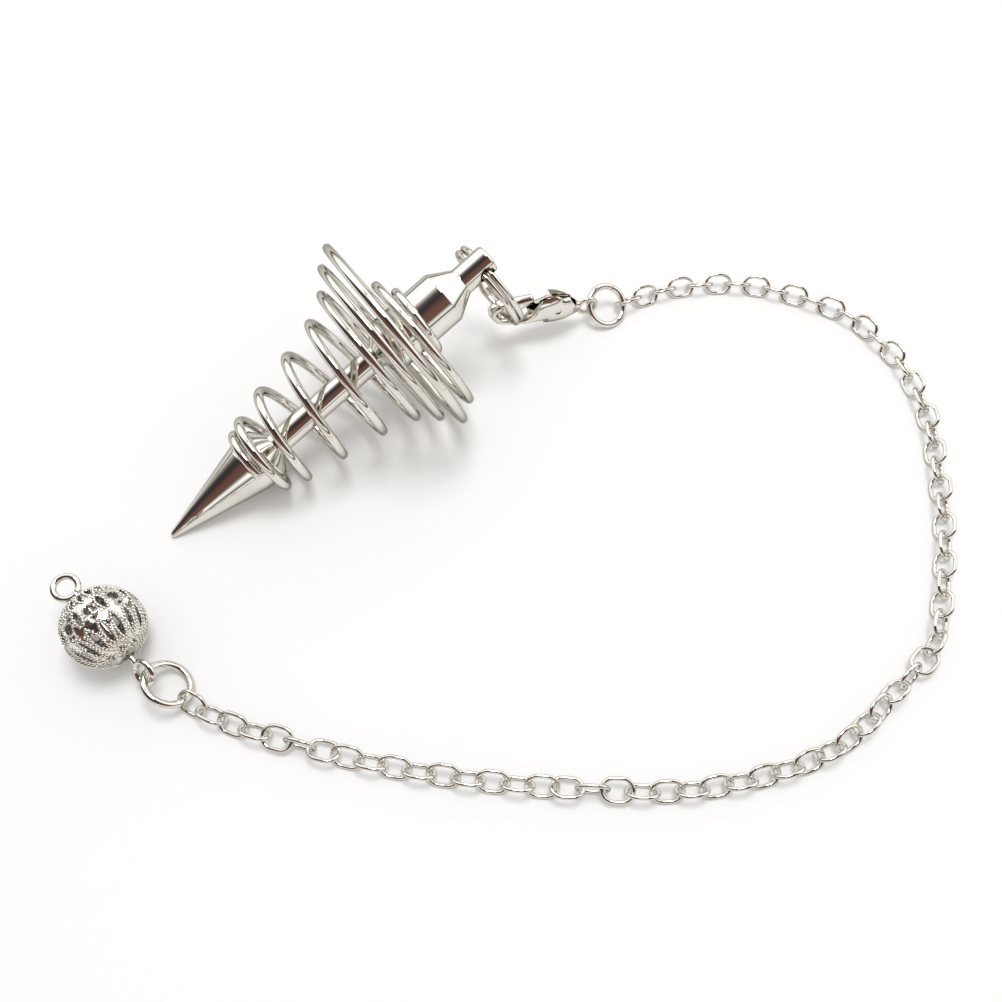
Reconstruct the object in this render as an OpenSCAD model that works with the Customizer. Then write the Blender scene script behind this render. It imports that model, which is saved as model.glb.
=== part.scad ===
// Pendulum pendant: a turned point and cap in a flaring wire coil, on a split ring,
// a lobster clasp and a cable chain that ends in a pierced ball.
// It lies on its side. The origin is on the surface below the middle of the whole thing.

/* [Bob] */
// Length of the turned bob from its tip to the end of its neck
bob_l = 42; // [36:0.5:50]
// Diameter of the collar and of the cap
bob_d = 5.6; // [4.8:0.05:6.5]
// Length of the cone that makes the point
point_l = 10.5; // [8:0.25:13]
// Length of the straight collar behind the point
collar_l = 2.2; // [1.8:0.1:3]
// Diameter of the stem between collar and cap
stem_d = 2.5; // [1.8:0.1:3.2]
// Length of the cap's straight barrel
barrel_l = 7.6; // [6.5:0.1:9]
// Length of the cap's sloping shoulder
shoulder_l = 2.3; // [1.5:0.1:3]
// Length of the neck above the shoulder
neck_l = 3.7; // [3.4:0.1:5]
// Diameter of the neck
neck_d = 2.9; // [2.7:0.05:3.6]
// Length of the slopes from collar to stem and from stem to cap
slope_l = 1.1; // [0.6:0.1:1.6]
// Diameter of the cross hole in the neck
neck_hole_d = 1.75; // [1.7:0.01:1.9]
// Metal left between the cross hole and the neck's end
neck_hole_wall = 0.45; // [0.35:0.05:0.8]
// Rounding of the neck's end
edge_r = 0.3; // [0.1:0.05:0.4]
// Radius of the cone's blunt tip
tip_r = 0.35; // [0.15:0.05:0.4]

/* [Coil] */
// Outer diameter of the coil at its widest turn
coil_d = 22; // [18:0.5:26]
// Diameter of the coil's wire
coil_wire = 0.95; // [0.7:0.05:1.1]
// Gap between the coil's tight turns and the bob
coil_gap = 0.1; // [0.08:0.01:0.15]

/* [Split ring] */
// Outer diameter of the split ring
split_ring_d = 9.8; // [9:0.1:11]
// Diameter of its wire
split_wire = 0.62; // [0.5:0.02:0.7]
// Gap between its two turns
split_gap = 0.05; // [0.03:0.01:0.1]

/* [Clasp] */
// Length of the lobster clasp from its hook to its eye
clasp_l = 13.2; // [12:0.1:14]
// Width of the clasp across hook and lever side
clasp_w = 5.6; // [5:0.1:6.2]
// Greatest thickness of the clasp
clasp_t = 2.7; // [2.3:0.1:3.2]
// Thickness of the clasp's lever
lever_t = 0.9; // [0.7:0.05:1]
// Gap between the lever and each side of its slot
lever_gap = 0.12; // [0.08:0.01:0.2]
// Diameter of the rivet that the lever turns on
rivet_d = 0.7; // [0.5:0.05:0.8]
// Running gap round the rivet inside the lever
rivet_gap = 0.05; // [0.03:0.01:0.08]
// Diameter of the hole in the clasp's eye
clasp_eye_d = 1.5; // [1.3:0.05:1.7]
// Thickness of the metal round that hole
eye_wall = 0.5; // [0.4:0.05:0.6]

/* [Jump rings] */
// Outer diameter of both jump rings
jump_d = 5; // [4.6:0.1:5.6]
// Diameter of their wire
jump_wire = 0.7; // [0.6:0.05:0.8]
// Width of the cut where each jump ring closes
jump_cut = 0.08; // [0.04:0.01:0.15]

/* [Chain] */
// Outer length of a chain link
link_l = 3.18; // [3.08:0.02:3.38]
// Outer width of a chain link
link_w = 2.4; // [2.25:0.05:2.65]
// Diameter of the link wire
link_wire = 0.38; // [0.34:0.01:0.4]
// Slack between one link and the next
link_slack = 0.24; // [0.22:0.01:0.28]

/* [Eye pin] */
// Diameter of the eye pin's wire
pin_wire = 0.6; // [0.5:0.05:0.7]
// Outer diameter of the pin's two loops
loop_d = 2.8; // [2.6:0.05:3.4]
// Straight pin between the ball and the free loop
free_reach = 0.05; // [0.05:0.05:0.6]
// Straight pin between the ball and the loop that holds the jump ring
held_reach = 0.6; // [0.4:0.05:1.5]

/* [Ball] */
// Outer diameter of the pierced ball
ball_d = 7.5; // [7:0.1:9]
// Wall of the ball
ball_wall = 0.45; // [0.35:0.05:0.6]
// Gap between the pin and the ball's end holes
ball_gap = 0.3; // [0.2:0.05:0.4]

/* [Hidden] */
$fn = 64;
silver = [0.82, 0.82, 0.83];

// Where things lie on the surface: the tip, the bob's heading and the ball
tip_xy = [-35.0, -3.4];
bob_heading = 37;
ball_xy = [-38.4, -14.45];
pin_heading = -45;
pin_slope = 12;
loop_roll = -35;
held_ring_heading = 30;
held_ring_pin_side = 137;
held_ring_link_side = -64;
clasp_roll = 90;
clasp_heading = 18.5;
clasp_ring_heading = -52;
clasp_ring_eye_side = -119;
clasp_ring_link_side = 74;
middle = [0.118, -0.032, 0];
ring_swing = 4;
hook_angle = -12;

// The chain's route over the surface between its two end links
CHAIN_ROUTE = [[17.3, 28.0], [24.5, 28.7], [30.8, 27.2], [36.7, 24.2], [39.4, 20.9],
    [41.6, 17.0], [42.9, 10.6], [42.6, 3.8], [41.9, -2.6], [40.5, -8.8], [38.3, -15.1],
    [33.9, -19.5], [28.8, -24.0], [22.9, -26.7], [14.1, -28.5], [5.2, -28.4],
    [-3.4, -27.7], [-12.1, -26.4], [-20.5, -24.4], [-26.7, -22.5]];
// Quarter twists that the chain lies with: the link before each, and its sense
CHAIN_TWISTS = [[30, -1], [46, -1], [58, 1]];
twist_links = 4;

// Stations along the bob, measured from its tip
collar_end = point_l + collar_l;
neck_from = bob_l - neck_l;
shoulder_from = neck_from - shoulder_l;
barrel_from = shoulder_from - barrel_l;
hole_at = bob_l - neck_hole_wall - neck_hole_d / 2;

// The coil: a row for each half turn from the collar, with its rise along the bob and its
// flare, in shares of the whole rise and of the widest turn's reach beyond the tight ones
RISE = 0;
FLARE = 1;
COIL_ROWS = [[0, 0], [0.022, 0], [0.045, 0.05], [0.086, 0.09], [0.146, 0.15], [0.248, 0.21],
    [0.335, 0.245], [0.446, 0.325], [0.543, 0.36], [0.62, 0.455], [0.7, 0.52], [0.742, 0.64],
    [0.782, 0.735], [0.822, 0.89], [0.855, 0.97], [0.9, 1.03], [0.937, 0.8], [0.952, 0.19],
    [0.978, 0], [1, 0], [1.005, 0]];
coil_first = 0.33;
coil_last = 19.1;
coil_steps = 9;
coil_sides = 8;
coil_tight_r = bob_d / 2 + coil_gap + coil_wire / 2;
coil_wide_r = coil_d / 2 - coil_wire / 2;
coil_from = point_l + coil_wire / 2;
cap_bare_share = 0.43;
coil_to = shoulder_from - cap_bare_share * barrel_l;
coil_start_angle = 293;

// A smooth curve through the rows of a table, read at row number t
function smooth(rows, t, column) =
    let (i = min(floor(t), len(rows) - 2), u = t - i,
        a = rows[max(i - 1, 0)][column], b = rows[i][column],
        c = rows[i + 1][column], d = rows[min(i + 2, len(rows) - 1)][column])
    b + 0.5 * u * ((c - a) + u * ((2 * a - 5 * b + 4 * c - d) + u * (3 * (b - c) + d - a)));
function coil_rise(t) = coil_from + (coil_to - coil_from) * smooth(COIL_ROWS, t, RISE);
function coil_r(t) = coil_tight_r
    + (coil_wide_r - coil_tight_r) * max(0, smooth(COIL_ROWS, t, FLARE));

// The bob rests on its tip and on the coil turn that reaches lowest
tip_round_l = 0.8 * tip_r;
first_low_turn = coil_start_angle / 180;
function lean(t) = let (s = coil_rise(t) - tip_round_l, r = coil_r(t) - tip_r)
    atan(r / s) + asin(coil_wire / 2 / norm([s, r]));
half_turns = 2;
tilt = max([for (k = [4 : floor((coil_last - first_low_turn) / half_turns)])
    lean(first_low_turn + half_turns * k)]);
bob_turn = [0, 90 - tilt, bob_heading];
tip_at = [tip_xy[0], tip_xy[1], tip_r * cos(tilt) - tip_round_l * sin(tilt)];

// Turning a vector in the way that rotate() turns a shape
function turn_x(v, a) = [v[0], v[1] * cos(a) - v[2] * sin(a), v[1] * sin(a) + v[2] * cos(a)];
function turn_y(v, a) = [v[0] * cos(a) + v[2] * sin(a), v[1], v[2] * cos(a) - v[0] * sin(a)];
function turn_z(v, a) = [v[0] * cos(a) - v[1] * sin(a), v[0] * sin(a) + v[1] * cos(a), v[2]];
function turn(v, r) = turn_z(turn_y(turn_x(v, r[0]), r[1]), r[2]);
function unit(v) = v / norm(v);
function flat(v) = [v[0], v[1]];

// The split ring hangs from the neck's hole, and the clasp's hook hangs in the ring
split_r = split_ring_d / 2 - split_wire / 2;
split_offset = (split_wire + split_gap) / 2;
split_middle = turn_z([split_r, 0, hole_at], ring_swing);
hook_in_ring = turn_z([split_r * (1 + cos(hook_angle)), split_r * sin(hook_angle), hole_at],
    ring_swing);
hook_point = tip_at + turn(hook_in_ring, bob_turn);

// The clasp: a row for each section from its neck round to the tip of its hook,
// in shares of the body's length, the width, the width and the thickness
ALONG = 0;
ACROSS = 1;
HALF_WIDE = 2;
HALF_THICK = 3;
CLASP_ROWS = [[1, 0, 0.09, 0.17], [0.922, 0.01, 0.165, 0.31], [0.826, 0.03, 0.285, 0.44],
    [0.705, 0.045, 0.36, 0.5], [0.612, 0.06, 0.37, 0.5], [0.5, -0.08, 0.17, 0.45],
    [0.389, -0.19, 0.09, 0.37], [0.259, -0.21, 0.075, 0.32], [0.127, -0.18, 0.075, 0.3],
    [0.043, 0, 0.08, 0.28], [0.093, 0.15, 0.077, 0.26], [0.186, 0.21, 0.075, 0.24],
    [0.297, 0.25, 0.07, 0.22], [0.417, 0.31, 0.063, 0.19]];
clasp_steps = 2;
clasp_sides = 12;
eye_middle = clasp_l - clasp_eye_d / 2 - eye_wall;
body_l = eye_middle - clasp_eye_d / 2 - eye_wall / 2;
mouth_at = [0.177 * body_l, 0.02 * clasp_w, 0];

// The lever: its pivot, its boss, the end of its arm, its thumb piece and its tail
pivot_at = [0.699 * body_l, 0.13 * clasp_w, 0];
rivet_l = 0.9 * clasp_t;
boss_r = 0.15 * clasp_w;
arm_end = [0.462 * body_l, 0.29 * clasp_w];
arm_r = 0.055 * clasp_w;
thumb_at = [0.567 * body_l, 0.4 * clasp_w];
thumb_r = 0.07 * clasp_w;
tail_end = [0.862 * body_l, 0.14 * clasp_w];
tail_r = 0.06 * clasp_w;
slot_back = 0.928 * body_l;
slot_floor = pivot_at[1] - boss_r - lever_gap;
slot_step = 0.16 * clasp_w;
slot_low_from = 0.386 * body_l;
slot_high_from = 0.441 * body_l;

// It slopes down from its hook to its eye, which the jump ring holds off the surface
hang_gap = 0.1;
eye_rest = 0.477 * jump_d;
eye_hold = [eye_middle + clasp_eye_d / 2 - jump_wire / 2 - hang_gap, 0, 0];
clasp_slope = asin((hook_point[2] - eye_rest) / (eye_hold[0] - mouth_at[0]));
clasp_turn = [clasp_roll, clasp_slope, clasp_heading];
function clasp_place(v) = hook_point + turn(v - mouth_at, clasp_turn);

// The chain's links
link_r = (link_w - link_wire) / 2;
link_straight = (link_l - link_w) / 2;
link_inside = link_l - 2 * link_wire;
link_pitch = link_inside - link_slack;
link_bends = 5;
link_sides = 5;
link_roll = 45;
link_hold = link_inside / 2 - hang_gap - jump_wire / 2;

// The jump ring in the clasp's eye, and the chain's first link on it
jump_r = jump_d / 2 - jump_wire / 2;
jump_cut_side = 130;
eye_point = clasp_place(eye_hold);
clasp_ring_slope = asin((eye_point[2] - jump_wire / 2) / jump_r / (1 - cos(clasp_ring_eye_side)));
clasp_ring_turn = [0, clasp_ring_slope, clasp_ring_heading];
function on_ring(r, a) = [r * cos(a), r * sin(a), 0];
clasp_ring_at = eye_point - turn(on_ring(jump_r, clasp_ring_eye_side), clasp_ring_turn);
clasp_ring_out = clasp_ring_at + turn(on_ring(jump_r, clasp_ring_link_side), clasp_ring_turn);
chain_start = flat(clasp_ring_out)
    + link_hold * unit(CHAIN_ROUTE[0] - flat(clasp_ring_out));

// The ball, its pin, and the jump ring in the pin's held loop
ball_r = ball_d / 2;
ball_at = [ball_xy[0], ball_xy[1], ball_r];
pin_turn = [0, 90 + pin_slope, pin_heading];
loop_r = loop_d / 2 - pin_wire / 2;
free_loop_at = -(ball_r + free_reach + loop_d / 2);
free_loop_side = 0.29;
held_loop_at = ball_r + held_reach + loop_d / 2;
loop_cut = 0.1;
loop_cut_side = 25;
held_slack = 0.3;
held_point = ball_at
    + turn([0, 0, held_loop_at + loop_r - pin_wire / 2 - jump_wire / 2 - held_slack], pin_turn);
held_ring_slope = asin((held_point[2] - jump_wire / 2) / jump_r / (1 - cos(held_ring_pin_side)));
held_ring_turn = [0, held_ring_slope, held_ring_heading];
held_ring_at = held_point - turn(on_ring(jump_r, held_ring_pin_side), held_ring_turn);
held_ring_out = held_ring_at + turn(on_ring(jump_r, held_ring_link_side), held_ring_turn);
chain_finish = flat(held_ring_out)
    + link_hold * unit(CHAIN_ROUTE[len(CHAIN_ROUTE) - 1] - flat(held_ring_out));

// The whole route, made smooth, with the length walked so far at each point
route_rows = concat([chain_start], CHAIN_ROUTE, [chain_finish]);
route_steps = 6;
route = [for (i = [0 : (len(route_rows) - 1) * route_steps])
    [smooth(route_rows, i / route_steps, 0), smooth(route_rows, i / route_steps, 1)]];
function walked(points, i = 0, sum = 0, out = []) = i >= len(points) ? out :
    let (s = i == 0 ? 0 : sum + norm(points[i] - points[i - 1]))
    walked(points, i + 1, s, concat(out, [s]));
miles = walked(route);
route_l = miles[len(miles) - 1];
link_count = 2 * round((route_l / link_pitch + 1) / 2);
link_step = route_l / (link_count - 1);
function segment(s, low, high) = high - low <= 1 ? low :
    let (mid = floor((low + high) / 2))
    miles[mid] <= s ? segment(s, mid, high) : segment(s, low, mid);
function on_route(s) = let (t = min(max(s, 0), route_l), i = segment(t, 0, len(miles) - 1))
    route[i] + (route[i + 1] - route[i]) * (t - miles[i]) / (miles[i + 1] - miles[i])
    + (s - t) * unit(route[i + 1] - route[i]);
function twist(n) = 90 / twist_links
    * [for (row = CHAIN_TWISTS) min(max(n - row[0], 0), twist_links)]
    * [for (row = CHAIN_TWISTS) row[1]];
function roll(n) = link_roll * (n % 2 == 0 ? 1 : -1) + twist(n);

// A link lies as low as its roll allows, but never far below its neighbours,
// and the two end links are held up by the jump rings
end_lift = 0.6;
function low(n) = link_r * abs(sin(roll(n))) + link_wire / 2;
function held_up(n, ring_z) = low(n) + end_lift * max(0, ring_z - low(n));
function lift(n) = n == 0 ? held_up(n, clasp_ring_out[2])
    : n == link_count - 1 ? held_up(n, held_ring_out[2])
    : max(low(n), (low(n - 1) + low(n + 1)) / 2);

// The ball's pierced pattern, in bands round the pin: the polar angle of each band and its count,
// then the length and width of its leaves, or the diameter of its round holes
POLAR = 0;
COUNT = 1;
LEAF_L = 2;
LEAF_W = 3;
BALL_LEAVES = [[63, 18, 0.34, 0.07], [105, 9, 0.24, 0.07], [136, 18, 0.22, 0.055]];
ROUND_D = 2;
BALL_ROUNDS = [[30, 9, 0.06], [90, 9, 0.05], [104, 9, 0.13], [158, 9, 0.05]];
end_hole_d = pin_wire + 2 * ball_gap;
// Turns the spheres' seam to a place between the openings
seam_turn = 10;

// A tube along a list of points. Its sections stand across the path, with one
// side towards the direction given in up for that point.
module tube(path, up, d, sides, closed = false) {
    n = len(path);
    rings = [for (i = [0 : n - 1])
        let (before = closed ? path[(i + n - 1) % n] : path[max(i - 1, 0)],
            after = closed ? path[(i + 1) % n] : path[min(i + 1, n - 1)],
            ahead = unit(after - before), side = unit(cross(ahead, up[i])),
            top = cross(side, ahead))
        for (j = [0 : sides - 1])
            path[i] + d / 2 * (cos(360 * j / sides) * side + sin(360 * j / sides) * top)];
    walls = [for (i = [0 : closed ? n - 1 : n - 2], j = [0 : sides - 1])
        let (k = (i + 1) % n, m = (j + 1) % sides)
        [i * sides + j, i * sides + m, k * sides + m, k * sides + j]];
    ends = closed ? [] : [[for (j = [sides - 1 : -1 : 0]) j],
        [for (j = [0 : sides - 1]) (n - 1) * sides + j]];
    polyhedron(rings, concat(walls, ends), convexity = 10);
}

// A body lofted through oval sections along a path in the XY plane,
// with half_wide in the plane and half_thick across it
module oval_loft(path, half_wide, half_thick, sides) {
    n = len(path);
    points = [for (i = [0 : n - 1])
        let (ahead = unit(path[min(i + 1, n - 1)] - path[max(i - 1, 0)]),
            side = cross(ahead, [0, 0, 1]))
        for (j = [0 : sides - 1])
            path[i] + half_wide[i] * cos(360 * j / sides) * side
            + [0, 0, half_thick[i] * sin(360 * j / sides)]];
    walls = [for (i = [0 : n - 2], j = [0 : sides - 1])
        let (m = (j + 1) % sides)
        [i * sides + j, i * sides + m, (i + 1) * sides + m, (i + 1) * sides + j]];
    ends = [[for (j = [sides - 1 : -1 : 0]) j], [for (j = [0 : sides - 1]) (n - 1) * sides + j]];
    polyhedron(points, concat(walls, ends), convexity = 6);
}

module lay(at, angles) translate(at - middle) rotate(angles) children();
module on_bob() lay(tip_at, bob_turn) children();
module in_clasp() lay(hook_point, clasp_turn) translate(-mouth_at) children();
module on_pin() lay(ball_at, pin_turn) children();

module bob() {
    profile = [[0, 0], [0.7 * tip_r, 0.25 * tip_r], [tip_r, tip_round_l],
        [bob_d / 2, point_l], [bob_d / 2, collar_end],
        [stem_d / 2, collar_end + slope_l], [stem_d / 2, barrel_from - slope_l],
        [bob_d / 2, barrel_from], [bob_d / 2, shoulder_from], [neck_d / 2, neck_from],
        [neck_d / 2, bob_l - edge_r], [neck_d / 2 - 0.3 * edge_r, bob_l - 0.3 * edge_r],
        [neck_d / 2 - edge_r, bob_l], [0, bob_l]];
    color(silver) on_bob() difference() {
        rotate_extrude() polygon(profile);
        rotate([0, 0, ring_swing]) translate([0, 0, hole_at]) rotate([90, 0, 0])
            cylinder(d = neck_hole_d, h = 2 * neck_d, center = true);
    }
}

module coil() {
    count = floor((coil_last - coil_first) * coil_steps);
    path = [for (i = [0 : count])
        let (t = coil_first + (coil_last - coil_first) * i / count,
            a = coil_start_angle - 180 * t)
        [coil_r(t) * cos(a), coil_r(t) * sin(a), coil_rise(t)]];
    color(silver) on_bob() tube(path, [for (p = path) [0, 0, 1]], coil_wire, coil_sides);
}

// Two turns of wire: the step from one to the other is taken over the jog's angle
module split_ring() {
    sweep = 690;
    jog = 30;
    count = 40;
    start = 60;
    path = [for (i = [0 : count])
        let (a = sweep * i / count, u = min(max((a - sweep / 2 + jog / 2) / jog, 0), 1))
        [split_r * cos(start + a), split_r * sin(start + a), split_offset * (2 * u - 1)]];
    color(silver) on_bob() translate(split_middle) rotate([0, 0, ring_swing])
        tube(path, [for (p = path) [0, 0, 1]], split_wire, 8);
}

module clasp_form() {
    count = (len(CLASP_ROWS) - 1) * clasp_steps;
    at = [for (i = [0 : count]) i / clasp_steps];
    path = [for (t = at) [body_l * smooth(CLASP_ROWS, t, ALONG),
        clasp_w * smooth(CLASP_ROWS, t, ACROSS), 0]];
    wide = [for (t = at) clasp_w * smooth(CLASP_ROWS, t, HALF_WIDE)];
    thick = [for (t = at) clasp_t * smooth(CLASP_ROWS, t, HALF_THICK)];
    oval_loft(path, wide, thick, clasp_sides);
    translate([eye_middle, 0, 0]) rotate_extrude()
        translate([clasp_eye_d / 2 + eye_wall / 2, 0]) circle(d = eye_wall, $fn = 32);
}

module slot_cut(from, floor_y) {
    translate([(from + slot_back) / 2, floor_y + clasp_w / 2, 0])
        cube([slot_back - from, clasp_w, lever_t + 2 * lever_gap], center = true);
}

module clasp_body() {
    color(silver) in_clasp() difference() {
        clasp_form();
        slot_cut(slot_high_from, slot_floor);
        intersection() {
            slot_cut(slot_low_from, slot_floor);
            translate([0, slot_step - clasp_w, -clasp_t]) cube([clasp_l, clasp_w, 2 * clasp_t]);
        }
        translate(pivot_at) cylinder(d = rivet_d + rivet_gap, h = 2 * clasp_t, center = true);
    }
}

// A bar between two points, round at the second one
module bar(p, q, r) {
    translate(p) rotate(atan2(q[1] - p[1], q[0] - p[0])) translate([0, -r])
        square([norm(q - p), 2 * r]);
    translate(q) circle(r = r);
}

module clasp_lever() {
    pivot = [pivot_at[0], pivot_at[1]];
    color([0.72, 0.72, 0.74]) in_clasp() linear_extrude(lever_t, center = true) difference() {
        union() {
            translate(pivot) circle(r = boss_r);
            bar(pivot, arm_end, arm_r);
            bar(pivot, thumb_at, thumb_r);
            bar(thumb_at, arm_end, arm_r);
            bar(pivot, tail_end, tail_r);
        }
        translate(pivot) circle(d = rivet_d + 2 * rivet_gap);
    }
}

module clasp_rivet() {
    color(silver) in_clasp() translate(pivot_at)
        cylinder(d = rivet_d, h = rivet_l, center = true);
}

module jump_ring() {
    difference() {
        rotate_extrude() translate([jump_r, 0]) circle(d = jump_wire, $fn = 32);
        rotate([0, 0, jump_cut_side]) translate([jump_r, 0, 0])
            cube([2 * jump_wire, jump_cut, 2 * jump_wire], center = true);
    }
}

module jump_ring_clasp() {
    color(silver) lay(clasp_ring_at, clasp_ring_turn) jump_ring();
}

module jump_ring_ball() {
    color(silver) lay(held_ring_at, held_ring_turn) jump_ring();
}

// One link, its length along X, in the XY plane
module chain_link() {
    half = [for (j = [0 : link_bends]) let (a = -90 + 180 * j / link_bends)
        [link_straight + link_r * cos(a), link_r * sin(a), 0]];
    path = concat(half, [for (p = half) [-p[0], -p[1], 0]]);
    tube(path, [for (p = path) [0, 0, 1]], link_wire, link_sides, true);
}

module chain() {
    color(silver) for (n = [0 : link_count - 1]) {
        s = n * link_step;
        ahead = on_route(s + link_pitch / 2) - on_route(s - link_pitch / 2);
        p = on_route(s);
        lay([p[0], p[1], lift(n)], [-roll(n), 0, atan2(ahead[1], ahead[0])]) chain_link();
    }
}

module pin_loop() {
    difference() {
        rotate_extrude() translate([loop_r, 0]) circle(d = pin_wire, $fn = 32);
        rotate([0, 0, loop_cut_side]) translate([loop_r, 0, 0])
            cube([2 * pin_wire, loop_cut, 2 * pin_wire], center = true);
    }
}

module eye_pin() {
    shank_from = free_loop_at + sqrt(loop_r * loop_r - free_loop_side * free_loop_side);
    shank_to = held_loop_at - loop_r;
    color(silver) on_pin() {
        translate([0, 0, shank_from]) cylinder(d = pin_wire, h = shank_to - shank_from);
        translate([0, -free_loop_side, free_loop_at]) rotate([0, -90, 0]) pin_loop();
        translate([0, 0, held_loop_at]) rotate([90, 0, loop_roll]) rotate([0, 0, 90]) pin_loop();
    }
}

// A leaf between two arcs, its length along X
module leaf(long, wide) {
    r = (long * long / 4 + wide * wide / 4) / wide;
    intersection() {
        translate([0, wide / 2 - r]) circle(r = r);
        translate([0, r - wide / 2]) circle(r = r);
    }
}

module ball() {
    color(silver) on_pin() difference() {
        rotate([0, 0, seam_turn]) sphere(d = ball_d);
        rotate([0, 0, seam_turn]) sphere(d = ball_d - 2 * ball_wall);
        cylinder(d = end_hole_d, h = 2 * ball_d, center = true);
        for (band = BALL_LEAVES, k = [0 : band[COUNT] - 1])
            rotate([0, band[POLAR], 360 * k / band[COUNT]]) translate([0, 0, ball_r / 2])
                linear_extrude(ball_r) leaf(band[LEAF_L] * ball_d, band[LEAF_W] * ball_d);
        for (band = BALL_ROUNDS, k = [0 : band[COUNT] - 1])
            rotate([0, band[POLAR], 360 * (k + 0.5) / band[COUNT]])
                translate([0, 0, ball_r / 2]) cylinder(d = band[ROUND_D] * ball_d, h = ball_r);
    }
}

bob();
coil();
split_ring();
clasp_body();
clasp_lever();
clasp_rivet();
jump_ring_clasp();
chain();
jump_ring_ball();
eye_pin();
ball();
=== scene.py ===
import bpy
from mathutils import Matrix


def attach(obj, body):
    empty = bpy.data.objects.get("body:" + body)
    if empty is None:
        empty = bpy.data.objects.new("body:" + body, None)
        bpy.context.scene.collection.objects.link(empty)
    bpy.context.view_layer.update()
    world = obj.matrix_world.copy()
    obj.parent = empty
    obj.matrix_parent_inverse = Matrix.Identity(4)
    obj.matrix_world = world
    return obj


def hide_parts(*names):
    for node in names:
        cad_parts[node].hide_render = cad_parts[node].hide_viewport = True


bl_info = {
    "name": "Pendulum pendant",
    "version": (1, 0, 0),
    "blender": (4, 5, 0),
    "location": "3D View > Sidebar > Pendulum",
    "description": "Models and lights a silver-coloured pendulum on its packed frame",
    "category": "Add Mesh",
}

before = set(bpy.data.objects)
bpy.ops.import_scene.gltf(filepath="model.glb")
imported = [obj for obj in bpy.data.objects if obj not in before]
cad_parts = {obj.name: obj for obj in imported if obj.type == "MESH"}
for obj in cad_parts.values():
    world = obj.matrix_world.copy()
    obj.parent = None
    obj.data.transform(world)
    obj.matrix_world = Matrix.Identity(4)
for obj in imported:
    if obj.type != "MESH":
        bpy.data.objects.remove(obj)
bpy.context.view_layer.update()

import math

import bpy
from bpy.props import FloatProperty, FloatVectorProperty, IntProperty, PointerProperty
from mathutils import Euler, Matrix, Vector

MM = 0.001

# Sizes and places that the solids have, in millimetres and degrees
BOB_L, BOB_D, POINT_L, COLLAR_L, STEM_D = 42.0, 5.6, 10.5, 2.2, 2.5
BARREL_L, SHOULDER_L, NECK_L, NECK_D, SLOPE_L = 7.6, 2.3, 3.7, 2.9, 1.1
NECK_HOLE_D, NECK_HOLE_WALL, EDGE_R, TIP_R = 1.75, 0.45, 0.3, 0.35
NECK_HOLE_AT = BOB_L - NECK_HOLE_WALL - NECK_HOLE_D / 2
COIL_D, COIL_WIRE, COIL_GAP = 22.0, 0.95, 0.1
COIL_FIRST, COIL_LAST, COIL_START_ANGLE, BARREL_BARE_SHARE = 0.33, 19.1, 293, 0.43
SPLIT_D, SPLIT_WIRE, SPLIT_GAP = 9.8, 0.62, 0.05
SPLIT_SWEEP, SPLIT_JOG, SPLIT_START_ANGLE = 690, 30, 60
CLASP_L, CLASP_W, CLASP_T = 13.2, 5.6, 2.7
LEVER_T, LEVER_GAP, RIVET_D, RIVET_GAP = 0.9, 0.12, 0.7, 0.05
CLASP_EYE_D, EYE_WALL = 1.5, 0.5
BODY_L = CLASP_L - CLASP_EYE_D - 1.5 * EYE_WALL
PIVOT, BOSS_R = (0.699 * BODY_L, 0.13 * CLASP_W, 0), 0.15 * CLASP_W
SLOT_BACK, SLOT_STEP = 0.928 * BODY_L, 0.16 * CLASP_W
SLOT_LOW_FROM, SLOT_HIGH_FROM = 0.386 * BODY_L, 0.441 * BODY_L
JUMP_D, JUMP_WIRE, JUMP_CUT, JUMP_CUT_SIDE = 5.0, 0.7, 0.08, 130
LINK_L, LINK_W, LINK_WIRE, LINK_PITCH = 3.18, 2.4, 0.38, 2.18
PIN_WIRE, LOOP_D, FREE_REACH, FREE_SIDE, HELD_REACH, LOOP_ROLL = 0.6, 2.8, 0.05, 0.29, 0.6, -35
LOOP_CUT, LOOP_CUT_SIDE = 0.1, 25
BALL_D = 7.5

# Where the pieces lie and how they are turned about X, Y and Z, and the middle of the whole in
# the coordinates of the chain's route
BOB_AT, BOB_TURN = (-35.118, -3.368, 0.236345), (0, 70.4829, 37)
RING_SWING = 4
HOOK_AT, CLASP_TURN = (-1.87379, 21.2844, 5.22547), (90, 15.9893, 18.5)
MOUTH = (0.177 * BODY_L, 0.02 * CLASP_W, 0)
CLASP_RING_AT, CLASP_RING_TURN = (9.49099, 24.9229, 1.64803), (0, 37.138, -52)
HELD_RING_AT, HELD_RING_TURN = (-32.5985, -19.1303, 1.60527), (0, 35.7216, 30)
BALL_AT, PIN_TURN = (-38.518, -14.418, 3.75), (0, 102, -45)
MIDDLE = Vector((0.118, -0.032))

# The coil at each half turn, in shares of its rise and of its flare
RISE, FLARE = range(2)
COIL_ROWS = [(0, 0), (0.022, 0), (0.045, 0.05), (0.086, 0.09), (0.146, 0.15), (0.248, 0.21),
             (0.335, 0.245), (0.446, 0.325), (0.543, 0.36), (0.62, 0.455), (0.7, 0.52),
             (0.742, 0.64), (0.782, 0.735), (0.822, 0.89), (0.855, 0.97), (0.9, 1.03),
             (0.937, 0.8), (0.952, 0.19), (0.978, 0), (1, 0), (1.005, 0)]

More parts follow.
